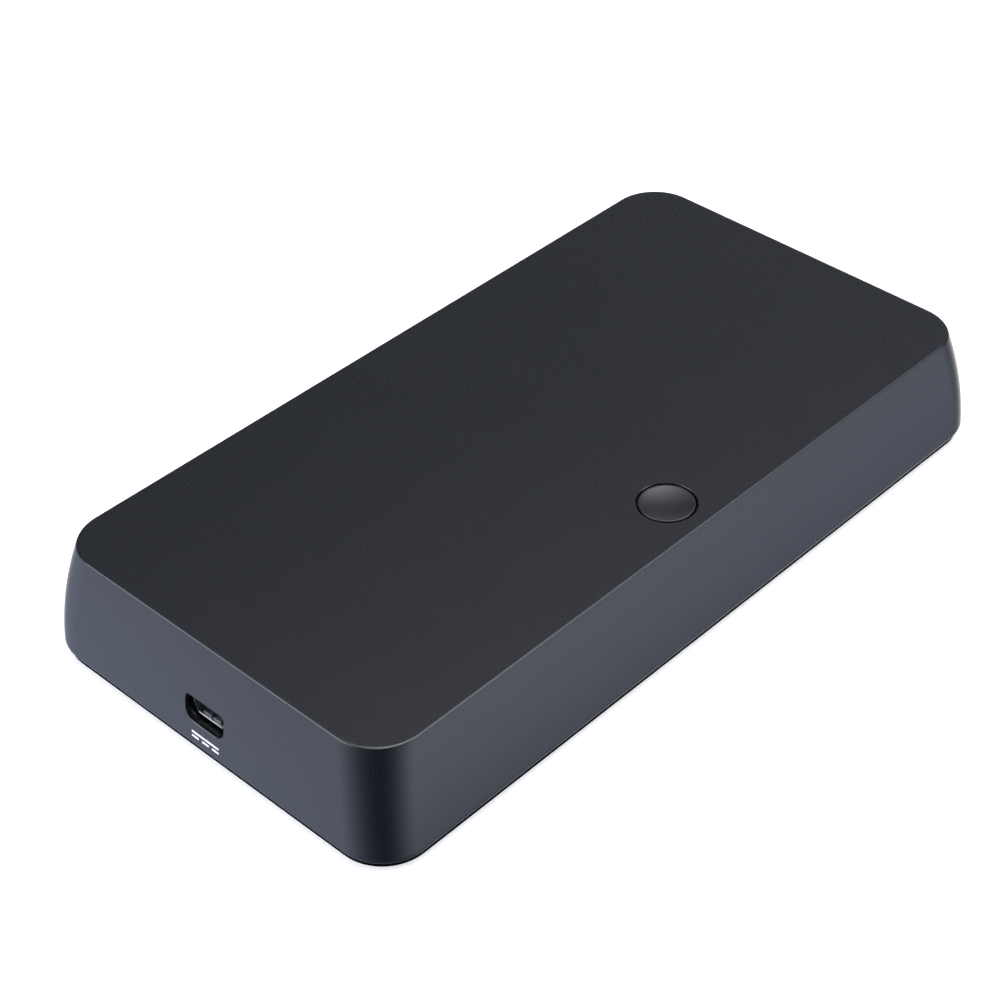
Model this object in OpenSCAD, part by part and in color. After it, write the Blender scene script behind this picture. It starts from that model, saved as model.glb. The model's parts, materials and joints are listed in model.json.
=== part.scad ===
// Video capture box: a flared plastic case with a record button on top and a power port at one end
// Sizes are in millimetres, X runs along the case, Y across it, Z up from the table under the feet
// The button faces the front long side at -Y, the power port is in the left end at -X

/* [Case] */
// Length of the top face
top_length = 150; // [146:1:170]
// Width of the top face
top_width = 75.6; // [74:0.1:90]
// Radius of the upright corners
corner_r = 8.6; // [7:0.1:11]
// Height of the top face above the underside of the cover
case_h = 21.8; // [21:0.1:25]
// Thickness of the shell's walls and roof
wall_t = 2; // [1.6:0.1:2.2]
// Lean of the walls at the top edge, in degrees
lean_top = 15; // [11:0.5:18]
// Lean of the walls just above the rim, in degrees
lean_low = 3; // [1:0.5:6]
// Rounding of the top edge
edge_r = 0.4; // [0.3:0.1:1]
// Rounding of the lower rim
rim_r = 2; // [1.4:0.1:2.4]
// Angle through which the rim turns in under the wall, in degrees
rim_turn = 48; // [40:1:55]

/* [Cover and feet] */
// Height of the cover's edge that shows below the shell
cover_edge_h = 0.7; // [0.4:0.1:1]
// Thickness of the cover's floor
cover_t = 2; // [1.6:0.1:2.4]
// Height of the lip that stands inside the shell
cover_lip_h = 2.4; // [1.5:0.1:3]
// Thickness of that lip
cover_lip_t = 1.4; // [1:0.1:2]
// Radius of a rubber foot
foot_r = 5; // [4:0.1:6]
// Height of the feet below the cover
foot_h = 0.7; // [0.5:0.1:2]
// Depth of the pocket that holds a foot
foot_pocket = 0.5; // [0.3:0.1:0.8]
// Distance of the feet from the ends of the top face
foot_inset_x = 23; // [20:0.5:30]
// Distance of the feet from the sides of the top face
foot_inset_y = 10.5; // [8:0.5:14]
// Number of vent slots in the floor
vent_count = 9; // [3:1:11]
// Length of a vent slot
vent_length = 24; // [12:1:30]
// Width of a vent slot
vent_width = 1.6; // [1:0.1:2]
// Distance between vent slots
vent_pitch = 4; // [3:0.1:5]

/* [Screws] */
// Distance of the case screws from the board's ends
screw_inset_x = 7; // [5:0.5:9]
// Distance of the case screws from the board's sides
screw_inset_y = 6.5; // [5:0.5:7.5]
// Radius of a screw's shank
screw_r = 1.15; // [0.9:0.05:1.25]
// Length of a screw's shank
screw_length = 13; // [9:0.5:14]
// Radius of a screw's head
screw_head_r = 2.3; // [1.9:0.1:2.5]
// Height of a screw's head
screw_head_h = 1.5; // [1:0.1:1.8]
// Radius of the screw bosses in the shell and of the pillars in the cover
boss_r = 3.4; // [3:0.1:3.8]

/* [Board] */
// Height of the board's top above the underside of the cover
board_level = 7.1; // [6.4:0.1:8]
// Thickness of the board
board_t = 1.6; // [1:0.1:1.6]
// Distance of the board's ends from the ends of the top face
board_end_gap = 3; // [2:0.5:6]
// Distance of the board's sides from the sides of the top face
board_side_gap = 2.6; // [2:0.1:5]

/* [Record button] */
// Distance of the button's axis from the front top edge
button_inset = 8.1; // [7.8:0.05:12]
// Radius of the button's cap
button_r = 4.85; // [4:0.05:5]
// Gap around the cap
button_gap = 0.35; // [0.3:0.05:0.5]
// Depth of the dish in the cap, whose rim lies level with the top face
button_dish = 0.5; // [0.2:0.05:0.8]
// Width of the flange that keeps the button in
button_flange = 1.1; // [0.8:0.1:1.4]
// Thickness of that flange
button_flange_t = 1; // [0.8:0.1:1.4]
// Travel of the button and the switch under it
button_travel = 0.25; // [0.15:0.05:0.35]
// Height of the switch from the board to the top of its plunger
switch_h = 5; // [4.5:0.1:7]

/* [Ports] */
// Distance of the power port from the middle of the left end, towards the front
power_offset = 0.4; // [-8:0.05:8]
// How far the power port reaches out into its opening
power_reach = 1.35; // [0:0.05:1.4]
// Width of the opening for the power port
power_cut_w = 9; // [8.6:0.1:10]
// Height of the opening for the power port
power_cut_h = 4.95; // [4.5:0.05:5.4]
// Distance of the video input from the middle of the rear side, towards the left
video_in_offset = 24; // [14:1:40]
// Distance of the video output from the middle of the rear side, towards the right
video_out_offset = 6; // [3:1:10]
// Distance of the storage port from the middle of the right end, towards the rear
storage_offset = 6; // [2:0.5:8]
// Distance of the microphone jack from the middle of the right end, towards the front
mic_offset = 12; // [9:0.5:14]
// Radius of the microphone jack's bore
mic_bore_r = 1.8; // [1.78:0.01:1.85]

/* [Hidden] */
$fn = 48;
// Clearance between pieces that slide into each other, and the overlap used when cutting through
fit_gap = 0.05;
lip_gap = 0.2;
cut = 1;
corner_steps = 9;

top_z = foot_h + case_h;
floor_z = foot_h + cover_t;
roof_z = top_z - wall_t;
board_z = foot_h + board_level;
board_low_z = board_z - board_t;
half_length = top_length / 2;
half_width = top_width / 2;
board_length = top_length - 2 * board_end_gap;
board_width = top_width - 2 * board_side_gap;

// The wall's section is a chain of three arcs: top edge, wall and rim, each turning by its lean
rim_depth = case_h - cover_edge_h;
wall_start = [0, edge_r * (1 - sin(lean_top))];
wall_end_depth = rim_depth - rim_r * (sin(lean_low) + sin(rim_turn));
wall_r = (wall_end_depth - wall_start.y) / (sin(lean_top) - sin(lean_low));
edge_start = [-edge_r * cos(lean_top), 0];
wall_end = arc_point(wall_start, wall_r, lean_top, lean_low);
rim_end = arc_point(wall_end, rim_r, lean_low, -rim_turn);
edge_steps = 3;
wall_steps = 4;
rim_steps = 4;

case_section = concat(
    arc(edge_start, edge_r, 90, lean_top, edge_steps),
    arc(wall_start, wall_r, lean_top, lean_low, wall_steps),
    arc(wall_end, rim_r, lean_low, -rim_turn, rim_steps),
    [rim_end]
);
cavity_section = concat(
    [for (i = [0:wall_steps]) wall_point(wall_t + (wall_end.y - wall_t) * i / wall_steps)],
    [[wall_end.x, rim_depth + cut]]
);

cover_inset = 0.15;
cover_reach = rim_end.x - cover_inset;
lip_inset = wall_t + lip_gap;
lip_reach = wall_point(case_h - cover_t - cover_lip_h).x;

screw_hole_r = screw_r + 0.25;
head_pocket_r = screw_head_r + 0.4;
pilot_r = screw_r + fit_gap;
pilot_depth = 2;
drive_slot = 0.5;
drive_depth = 0.7;

button_y = -half_width + button_inset;
button_hole_r = button_r + button_gap;
button_flange_r = button_hole_r + button_flange - button_gap;
button_stem_r = 1.8;
button_land = 0.3;
plunger_top_z = board_z + switch_h;

switch_side = 6;
switch_base_h = 3.2;
switch_plate_t = 0.3;
switch_well_r = 2.4;
switch_well_floor = 1.2;
plunger_r = 1.6;
plunger_collar_r = 2;
plunger_collar_t = 0.5;
plunger_gap = 0.3;
dome_r = 2.1;
dome_rest = 0.35;
dome_h = button_travel + dome_rest;
dome_t = 0.1;
leg_w = 0.7;
leg_t = 0.25;
leg_out = 1;

led_size = [2, 1.25, 0.8];
led_offset = 6.4;

// Ports stand back from the wall's inner face by this much at the height of their tops
port_clearance = 0.2;
port_plate = 0.35;
contact_t = 0.12;

power_w = 7.7;
power_h = 3.95;
power_foot_w = 5.9;
power_step = 1.9;
power_depth = 9;
power_contacts = 5;
power_cut_gap = 0.2;
power_cut_top_r = 0.9;
power_cut_low_r = 2.2;

video_w = 15;
video_h = 5.6;
video_foot_w = 12.4;
video_step = 2.3;
video_depth = 11.4;
video_contacts = 10;
video_margin = 0.6;

storage_w = 13.1;
storage_h = 5.8;
storage_depth = 14;
storage_contacts = 4;
storage_margin = 0.6;

mic_w = 6.4;
mic_h = 5;
mic_depth = 14;
mic_barrel_r = 2.5;
mic_barrel_length = 2;
mic_cut_r = 3.4;
mic_leaf_w = 1.4;
mic_leaf_count = 3;

processor_at = [0, -1];
processor_side = 17;
processor_h = 1.4;
pad_side = 15;
pad_t = 0.5;
sink_side = 24;
sink_h = 7;
sink_base_t = 1.6;
sink_fins = 8;
sink_fin_t = 1.1;

// Shared shapes and functions

function arc_point(start, r, from, to) = start + r * [cos(to) - cos(from), sin(from) - sin(to)];

function arc(start, r, from, to, steps) =
    [for (i = [0:steps - 1]) arc_point(start, r, from, from + (to - from) * i / steps)];

function wall_point(depth) =
    let (lean = asin(sin(lean_top) - (depth - wall_start.y) / wall_r))
    [arc_point(wall_start, wall_r, lean_top, lean).x, depth];

// How far beyond the top edge a port of a given height can reach inside the wall
function port_reach(h) = wall_point(case_h - board_level - h).x - wall_t - port_clearance;

// How far beyond the top edge the mouth of the power port lies
power_mouth = port_reach(power_h) + power_reach;

// The case's outline as points: four corner arcs at a given reach and depth, drawn further in by an inset
function case_ring(point, inset) = [
    for (quarter = [0:3], i = [0:corner_steps])
        let (
            turn = 90 * (quarter + i / corner_steps),
            side_x = quarter == 0 || quarter == 3 ? 1 : -1,
            side_y = quarter < 2 ? 1 : -1
        )
        [
            side_x * (half_length + point.x - corner_r) + (corner_r - inset) * cos(turn),
            side_y * (half_width + point.x - corner_r) + (corner_r - inset) * sin(turn),
            top_z - point.y
        ]
];

function port_outline(w, h, foot_w, step, inset) = [
    [inset - w / 2, h - inset], [w / 2 - inset, h - inset], [w / 2 - inset, step],
    [foot_w / 2 - inset / 2, inset], [inset / 2 - foot_w / 2, inset], [inset - w / 2, step]
];

module rounded_rect(length, width, r) {
    square([length - 2 * r, width], center = true);
    square([length, width - 2 * r], center = true);
    for (x = [-1, 1], y = [-1, 1])
        translate([x * (length / 2 - r), y * (width / 2 - r)]) circle(r);
}

// The case's outline at a given reach beyond the top edge, drawn further in by an inset
module case_outline(reach, inset = 0) {
    grow = 2 * (reach - inset);
    rounded_rect(top_length + grow, top_width + grow, corner_r - inset);
}

// The solid between the outlines of a section's points, given as reach and depth from the top down
// Each outline has the same number of points, one ring for each point of the section
module flared_solid(section, inset = 0) {
    levels = len(section);
    count = len(case_ring(section[0], inset));
    side_faces = [
        for (level = [0:levels - 2], i = [0:count - 1])
            let (upper = level * count, lower = upper + count, next = (i + 1) % count)
            [upper + i, upper + next, lower + next, lower + i]
    ];
    top_face = [for (i = [count - 1:-1:0]) i];
    low_face = [for (i = [0:count - 1]) (levels - 1) * count + i];
    polyhedron(
        points = [for (point = section) each case_ring(point, inset)],
        faces = concat([top_face, low_face], side_faces)
    );
}

module at_screws(z) {
    for (x = [-1, 1], y = [-1, 1])
        translate([x * (board_length / 2 - screw_inset_x), y * (board_width / 2 - screw_inset_y), z])
            children();
}

module at_feet(z) {
    for (x = [-1, 1], y = [-1, 1])
        translate([x * (half_length - foot_inset_x), y * (half_width - foot_inset_y), z]) children();
}

module at_button(z) {
    translate([0, button_y, z]) children();
}

// Puts a port's mouth at a side of the case, its own X pointing out of the case
module at_power() {
    rotate(180) translate([half_length + power_mouth, power_offset, board_z]) children();
}

module at_video_in() {
    rotate(90) translate([half_width + port_reach(video_h), video_in_offset, board_z]) children();
}

module at_video_out() {
    rotate(90) translate([half_width + port_reach(video_h), -video_out_offset, board_z]) children();
}

module at_storage() {
    translate([half_length + port_reach(storage_h), storage_offset, board_z]) children();
}

module at_mic() {
    translate([half_length + port_reach(mic_h), -mic_offset, board_z]) children();
}

// Draws an outline along the way a plug goes in, from one distance behind the mouth to another
module along_plug(from, to) {
    translate([-to, 0, 0])
        rotate([90, 0, 90])
            linear_extrude(to - from) children();
}

module block_on_board(at, size) {
    translate([at.x - size.x / 2, at.y - size.y / 2, board_z]) cube(size);
}

// Case

module top_shell() {
    color("#2b2d31")
    difference() {
        union() {
            difference() {
                flared_solid(case_section);
                flared_solid(cavity_section, wall_t);
            }
            at_screws(board_z) cylinder(r = boss_r, h = roof_z - board_z + wall_t / 2);
        }
        at_screws(board_z - cut) cylinder(r = pilot_r, h = roof_z - board_z - pilot_depth + cut);
        at_button(roof_z - cut) cylinder(r = button_hole_r, h = wall_t + 2 * cut);
        at_power() along_plug(-2 * wall_t - cut, power_reach) power_opening();
        at_video_in() along_plug(-2 * wall_t - cut, 0) video_opening();
        at_video_out() along_plug(-2 * wall_t - cut, 0) video_opening();
        at_storage() along_plug(-2 * wall_t - cut, 0) storage_opening();
        at_mic() along_plug(-2 * wall_t - cut, 0) translate([0, mic_h / 2]) circle(mic_cut_r);
    }
}

// A little taller than the port and well rounded at the lower corners
module power_opening() {
    high = power_h + power_cut_gap;
    low = high - power_cut_h;
    top_w = power_cut_w - 2 * power_cut_top_r;
    low_w = power_cut_w - 2 * power_cut_low_r;
    translate([-power_cut_w / 2, low + power_cut_low_r])
        square([power_cut_w, power_cut_h - power_cut_low_r - power_cut_top_r]);
    translate([-top_w / 2, high - 2 * power_cut_top_r]) square([top_w, 2 * power_cut_top_r]);
    translate([-low_w / 2, low]) square([low_w, 2 * power_cut_low_r]);
    for (side = [-1, 1]) {
        translate([side * top_w / 2, high - power_cut_top_r]) circle(power_cut_top_r);
        translate([side * low_w / 2, low + power_cut_low_r]) circle(power_cut_low_r);
    }
}

module video_opening() {
    translate([-video_w / 2 - video_margin, -video_margin])
        square([video_w + 2 * video_margin, video_h + 2 * video_margin]);
}

module storage_opening() {
    translate([-storage_w / 2 - storage_margin, -storage_margin])
        square([storage_w + 2 * storage_margin, storage_h + 2 * storage_margin]);
}

module bottom_cover() {
    lip_z = floor_z + cover_lip_h;
    color("#141517")
    difference() {
        union() {
            translate([0, 0, foot_h]) linear_extrude(cover_edge_h) case_outline(cover_reach);
            translate([0, 0, foot_h]) linear_extrude(cover_t) case_outline(lip_reach, lip_inset);
            translate([0, 0, foot_h])
                linear_extrude(lip_z - foot_h)
                    difference() {
                        case_outline(lip_reach, lip_inset);
                        case_outline(lip_reach, lip_inset + cover_lip_t);
                    }
            at_screws(foot_h) cylinder(r = boss_r, h = board_low_z - foot_h);
        }
        at_screws(foot_h - cut) cylinder(r = head_pocket_r, h = cover_t + cut);
        at_screws(foot_h) cylinder(r = screw_hole_r, h = board_z);
        at_feet(foot_h - cut) cylinder(r = foot_r + fit_gap, h = foot_pocket + cut);
        for (i = [0:vent_count - 1])
            translate([(i - (vent_count - 1) / 2) * vent_pitch, 0, foot_h + cover_t / 2])
                cube([vent_width, vent_length, cover_t + 2 * cut], center = true);
    }
}

module case_screws() {
    head_z = floor_z - screw_head_h;
    color("#8d8f92")
    at_screws(0)
        difference() {
            union() {
                translate([0, 0, head_z]) cylinder(r = screw_head_r, h = screw_head_h);
                translate([0, 0, floor_z]) cylinder(r = screw_r, h = screw_length);
            }
            for (turn = [0, 90])
                rotate(turn)
                    translate([-screw_r, -drive_slot / 2, head_z - cut])
                        cube([2 * screw_r, drive_slot, drive_depth + cut]);
        }
}

module rubber_feet() {
    color("#1c1c1d")
    at_feet(0) cylinder(r = foot_r, h = foot_h + foot_pocket);
}

// Board, button and switch

module circuit_board() {
    color("#1f5a3a")
    difference() {
        translate([-board_length / 2, -board_width / 2, board_low_z])
            cube([board_length, board_width, board_t]);
        at_screws(board_low_z - cut) cylinder(r = screw_hole_r, h = board_t + 2 * cut);
    }
}

module record_button() {
    flange_z = roof_z - button_flange_t;
    dish_r = button_r - button_land;
    dish_ball_r = (dish_r * dish_r + button_dish * button_dish) / (2 * button_dish);
    color("#303236")
    at_button(0)
        difference() {
            union() {
                translate([0, 0, flange_z]) cylinder(r = button_r, h = top_z - flange_z);
                translate([0, 0, flange_z]) cylinder(r = button_flange_r, h = button_flange_t);
                translate([0, 0, plunger_top_z]) cylinder(r = button_stem_r, h = flange_z - plunger_top_z);
            }
            translate([0, 0, top_z - button_dish + dish_ball_r]) sphere(r = dish_ball_r);
        }
}

module switch_base() {
    color("#17181a")
    at_button(board_z)
        difference() {
            translate([-switch_side / 2, -switch_side / 2, 0])
                cube([switch_side, switch_side, switch_base_h]);
            translate([0, 0, switch_well_floor]) cylinder(r = switch_well_r, h = switch_base_h);
        }
}

module switch_plate() {
    color("#b9bcc0")
    at_button(board_z + switch_base_h)
        difference() {
            translate([-switch_side / 2, -switch_side / 2, 0])
                cube([switch_side, switch_side, switch_plate_t]);
            translate([0, 0, -cut]) cylinder(r = plunger_r + plunger_gap / 2, h = switch_plate_t + 2 * cut);
        }
}

module switch_dome() {
    ball_r = (dome_r * dome_r + dome_h * dome_h) / (2 * dome_h);
    color("#c9cbce")
    at_button(board_z + switch_well_floor)
        intersection() {
            difference() {
                translate([0, 0, dome_h - ball_r]) sphere(r = ball_r);
                translate([0, 0, dome_h - ball_r]) sphere(r = ball_r - dome_t);
            }
            cylinder(r = dome_r + cut, h = dome_h + cut);
        }
}

module switch_plunger() {
    collar_top = switch_base_h;
    foot_level = switch_well_floor + dome_h;
    color("#232428")
    at_button(board_z) {
        translate([0, 0, foot_level]) cylinder(r = plunger_r, h = switch_h - foot_level);
        translate([0, 0, collar_top - plunger_collar_t]) cylinder(r = plunger_collar_r, h = plunger_collar_t);
    }
}

module switch_legs() {
    leg_y = switch_side / 2 - leg_w - leg_w / 2;
    color("#c4c6c8")
    at_button(board_z)
        for (x = [-1, 1], y = [-1, 1])
            translate([0, y * leg_y, 0])
                scale([x, 1, 1])
                    translate([switch_side / 2, -leg_w / 2, 0]) {
                        cube([leg_out, leg_w, leg_t]);
                        cube([leg_t, leg_w, switch_well_floor]);
                    }
}

module status_leds() {
    color("#e8e6d8")
    for (x = [-1, 1])
        block_on_board([x * led_offset, button_y], led_size);
}

// Ports: a folded metal shell, a moulded block with a tongue, and contacts on the tongue

module port_shell(w, h, foot_w, step, depth) {
    difference() {
        along_plug(0, depth) polygon(port_outline(w, h, foot_w, step, 0));
        along_plug(-cut, depth - port_plate) polygon(port_outline(w, h, foot_w, step, port_plate));
    }
}

// The block fills the back of the shell, and its tongue reaches towards the mouth at a given level
module port_insulator(w, h, foot_w, step, depth, block, tongue_w, tongue_t, tongue_z, tongue_back) {
    along_plug(depth - port_plate - block, depth - port_plate)
        polygon(port_outline(w, h, foot_w, step, port_plate + fit_gap));
    along_plug(tongue_back, depth - port_plate - block)
        translate([-tongue_w / 2, tongue_z]) square([tongue_w, tongue_t]);
}

// A row of contacts lying on a tongue, from behind its tip to the block
module port_contacts(count, pitch, width, from, to, z) {
    for (i = [0:count - 1])
        along_plug(from, to)
            translate([(i - (count - 1) / 2) * pitch - width / 2, z]) square([width, contact_t]);
}

power_block = 3;
power_tongue_w = 4.4;
power_tongue_t = 0.8;
power_tongue_z = 2.1;
power_pitch = 0.8;
power_contact_w = 0.4;
power_tongue_back = 1.2;

module power_port_shell() {
    color("#c3c5c8")
    at_power() port_shell(power_w, power_h, power_foot_w, power_step, power_depth);
}

module power_port_insulator() {
    color("#161719")
    at_power()
        port_insulator(power_w, power_h, power_foot_w, power_step, power_depth, power_block,
            power_tongue_w, power_tongue_t, power_tongue_z, power_tongue_back);
}

module power_port_contacts() {
    color("#c8a24a")
    at_power()
        port_contacts(power_contacts, power_pitch, power_contact_w, power_tongue_back + power_contact_w,
            power_depth - port_plate - power_block, power_tongue_z - contact_t);
}

video_block = 4;
video_tongue_w = 11;
video_tongue_t = 1.1;
video_tongue_z = 2.4;
video_pitch = 1;
video_contact_w = 0.4;
video_tongue_back = 1;

module video_shell() {
    color("#c3c5c8") port_shell(video_w, video_h, video_foot_w, video_step, video_depth);
}

module video_insulator() {
    color("#161719")
    port_insulator(video_w, video_h, video_foot_w, video_step, video_depth, video_block,
        video_tongue_w, video_tongue_t, video_tongue_z, video_tongue_back);
}

// One row below the tongue, and a row of one contact fewer above it, set half a pitch over
module video_contact_rows() {
    tip = video_tongue_back + video_contact_w;
    back = video_depth - port_plate - video_block;
    color("#c8a24a") {
        port_contacts(video_contacts, video_pitch, video_contact_w, tip, back, video_tongue_z - contact_t);
        port_contacts(video_contacts - 1, video_pitch, video_contact_w, tip, back,
            video_tongue_z + video_tongue_t);
    }
}

module video_in_shell() {
    at_video_in() video_shell();
}

module video_in_insulator() {
    at_video_in() video_insulator();
}

module video_in_contacts() {
    at_video_in() video_contact_rows();
}

module video_out_shell() {
    at_video_out() video_shell();
}

module video_out_insulator() {
    at_video_out() video_insulator();
}

module video_out_contacts() {
    at_video_out() video_contact_rows();
}

storage_block = 3;
storage_tongue_w = 11;
storage_tongue_t = 1.8;
storage_tongue_z = 3.2;
storage_pitch = 2.2;
storage_contact_w = 1;
storage_tongue_back = 1.5;

module storage_port_shell() {
    color("#c3c5c8")
    at_storage() port_shell(storage_w, storage_h, storage_w, storage_h / 2, storage_depth);
}

module storage_port_insulator() {
    color("#d9d9d6")
    at_storage()
        port_insulator(storage_w, storage_h, storage_w, storage_h / 2, storage_depth, storage_block,
            storage_tongue_w, storage_tongue_t, storage_tongue_z, storage_tongue_back);
}

module storage_port_contacts() {
    color("#c8a24a")
    at_storage()
        port_contacts(storage_contacts, storage_pitch, storage_contact_w,
            storage_tongue_back + storage_contact_w, storage_depth - port_plate - storage_block,
            storage_tongue_z - contact_t);
}

module mic_jack_body() {
    color("#17181a")
    at_mic()
        difference() {
            union() {
                translate([-mic_depth, -mic_w / 2, 0]) cube([mic_depth - mic_barrel_length, mic_w, mic_h]);
                along_plug(0, mic_barrel_length + mic_barrel_r)
                    translate([0, mic_h / 2]) circle(mic_barrel_r);
            }
            along_plug(-cut, mic_depth + cut) translate([0, mic_h / 2]) circle(mic_bore_r);
        }
}

module mic_jack_leaves() {
    leaf_pitch = (mic_depth - mic_barrel_length) / mic_leaf_count;
    color("#c3c5c8")
    at_mic()
        for (i = [0:mic_leaf_count - 1])
            translate([-mic_depth + leaf_pitch * (i + 0.5) - mic_leaf_w / 2, mic_w / 2, 0]) {
                cube([mic_leaf_w, leg_t, mic_h / 2]);
                cube([mic_leaf_w, leg_out, leg_t]);
            }
}

// Parts on the board

module video_processor() {
    color("#1d1e20")
    block_on_board(processor_at, [processor_side, processor_side, processor_h]);
}

module thermal_pad() {
    color("#8fa3b5")
    translate([0, 0, processor_h]) block_on_board(processor_at, [pad_side, pad_side, pad_t]);
}

module heat_sink() {
    fin_pitch = (sink_side - sink_fin_t) / (sink_fins - 1);
    color("#3a3c40")
    translate([0, 0, processor_h + pad_t]) {
        block_on_board(processor_at, [sink_side, sink_side, sink_base_t]);
        for (i = [0:sink_fins - 1])
            block_on_board(processor_at + [i * fin_pitch - (sink_side - sink_fin_t) / 2, 0],
                [sink_fin_t, sink_side, sink_h]);
    }
}

// Each part stands a gap away from the port or part that it works with
part_gap = 2;
power_back = power_depth - half_length - power_mouth;
video_back = half_width + port_reach(video_h) - video_depth;
storage_back = half_length + port_reach(storage_h) - storage_depth;
mic_back = half_length + port_reach(mic_h) - mic_depth;

memory_size = [13.5, 8, 1.1];
memory_pitch = memory_size.y + part_gap;
memory_at = processor_at + [(sink_side + memory_size.x) / 2 + part_gap, 0];
flash_size = [8, 6, 0.8];
flash_at = memory_at + [0, memory_pitch + flash_size.y / 2];
receiver_size = [9, 9, 0.9];
receiver_at = [-video_in_offset, video_back - part_gap - receiver_size.y / 2];
splitter_size = [8, 8, 0.9];
splitter_at = [video_out_offset, video_back - part_gap - splitter_size.y / 2];
codec_size = [5, 5, 0.9];
codec_at = [mic_back - part_gap - codec_size.x / 2, -mic_offset];
crystal_size = [5, 3.2, 1.1];
crystal_places = [
    processor_at - [(sink_side + crystal_size.x) / 2 + part_gap, 0],
    codec_at - [(codec_size.x + crystal_size.x) / 2 + part_gap, 0]
];

// Regulators, inductors and capacitors stand in two rows behind the power port, some behind the storage port
power_row_y = 11;
regulator_size = [5, 4, 1.5];
inductor_size = [7, 7, 3.2];
capacitor_r = 3.15;
capacitor_h = 7.7;
capacitor_foot_h = 0.8;
regulator_x = power_back + part_gap + regulator_size.x / 2;
inductor_x = regulator_x + part_gap + (regulator_size.x + inductor_size.x) / 2;
capacitor_x = inductor_x + part_gap + inductor_size.x / 2 + capacitor_r;
storage_capacitor_x = storage_back - part_gap - capacitor_r;
storage_regulator_x = storage_capacitor_x - part_gap - capacitor_r - regulator_size.x / 2;
regulator_places = [
    [regulator_x, power_row_y], [regulator_x, -power_row_y], [storage_regulator_x, storage_offset]
];
inductor_places = [[inductor_x, power_row_y], [inductor_x, -power_row_y]];
capacitor_places = [
    [capacitor_x, power_row_y], [capacitor_x, -power_row_y], [storage_capacitor_x, storage_offset]
];
small_size = [1.6, 0.8, 0.8];
small_count = 9;
small_pitch = 2.6;
small_row = processor_at.y - sink_side / 2 - part_gap;
small_rows = [small_row, small_row - small_pitch];

module memory_chips() {
    color("#1d1e20")
    for (side = [-0.5, 0.5])
        block_on_board(memory_at + [0, side * memory_pitch], memory_size);
}

module flash_chip() {
    color("#1d1e20") block_on_board(flash_at, flash_size);
}

module video_receiver() {
    color("#1d1e20") block_on_board(receiver_at, receiver_size);
}

module video_splitter() {
    color("#1d1e20") block_on_board(splitter_at, splitter_size);
}

module audio_codec() {
    color("#1d1e20") block_on_board(codec_at, codec_size);
}

module crystals() {
    color("#c9cbce")
    for (place = crystal_places) block_on_board(place, crystal_size);
}

module power_inductors() {
    color("#4a4c50")
    for (place = inductor_places) block_on_board(place, inductor_size);
}

module power_capacitors() {
    color("#b7babd")
    for (place = capacitor_places) {
        block_on_board(place, [2 * capacitor_r, 2 * capacitor_r, capacitor_foot_h]);
        translate([place.x, place.y, board_z]) cylinder(r = capacitor_r - fit_gap, h = capacitor_h);
    }
}

module voltage_regulators() {
    color("#1d1e20")
    for (place = regulator_places) block_on_board(place, regulator_size);
}

module chip_capacitors() {
    color("#a58a66")
    for (row = small_rows, i = [0:small_count - 1])
        block_on_board([processor_at.x + (i - (small_count - 1) / 2) * small_pitch, row], small_size);
}

// Output

top_shell();
bottom_cover();
case_screws();
rubber_feet();
circuit_board();
record_button();
switch_base();
switch_plate();
switch_dome();
switch_plunger();
switch_legs();
status_leds();
power_port_shell();
power_port_insulator();
power_port_contacts();
video_in_shell();
video_in_insulator();
video_in_contacts();
video_out_shell();
video_out_insulator();
video_out_contacts();
storage_port_shell();
storage_port_insulator();
storage_port_contacts();
mic_jack_body();
mic_jack_leaves();
video_processor();
thermal_pad();
heat_sink();
memory_chips();
flash_chip();
video_receiver();
video_splitter();
audio_codec();
crystals();
power_inductors();
power_capacitors();
voltage_regulators();
chip_capacitors();
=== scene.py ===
"""Looks of a video capture box, built around its packed construction.

Shapes are worked out in millimetres and turned into metres when a mesh is made.
X runs along the case, Y across it and Z up from the table, as in the construction.
"""

import json
import math

import bmesh
import bpy
from mathutils import Matrix, Vector


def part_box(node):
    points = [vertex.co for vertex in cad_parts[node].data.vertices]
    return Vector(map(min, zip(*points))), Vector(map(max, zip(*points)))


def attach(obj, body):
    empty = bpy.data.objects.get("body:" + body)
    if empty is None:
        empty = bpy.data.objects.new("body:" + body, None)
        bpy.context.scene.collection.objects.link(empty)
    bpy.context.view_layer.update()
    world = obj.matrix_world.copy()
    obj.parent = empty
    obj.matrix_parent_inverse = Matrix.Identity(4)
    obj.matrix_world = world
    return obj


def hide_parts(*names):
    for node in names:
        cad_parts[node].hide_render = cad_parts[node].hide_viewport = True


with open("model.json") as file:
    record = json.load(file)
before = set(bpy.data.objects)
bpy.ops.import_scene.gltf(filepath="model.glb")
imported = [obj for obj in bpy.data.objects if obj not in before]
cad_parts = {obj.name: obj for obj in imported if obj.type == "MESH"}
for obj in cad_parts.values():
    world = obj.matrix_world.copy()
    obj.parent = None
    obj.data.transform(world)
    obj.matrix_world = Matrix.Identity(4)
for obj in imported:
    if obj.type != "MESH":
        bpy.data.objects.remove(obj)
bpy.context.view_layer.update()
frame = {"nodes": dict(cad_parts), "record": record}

MM = 0.001

# Case sizes, as in the construction

TOP_LENGTH = 150
TOP_WIDTH = 75.6
CORNER_R = 8.6
TOP_Z = 22.5
WALL_T = 2
LEAN_TOP = math.radians(15)
LEAN_LOW = math.radians(3)
EDGE_R = 0.4
RIM_R = 2
RIM_TURN = math.radians(48)
RIM_DEPTH = 21.1
HALF_LENGTH = TOP_LENGTH / 2
HALF_WIDTH = TOP_WIDTH / 2
ROOF_Z = TOP_Z - WALL_T

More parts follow.
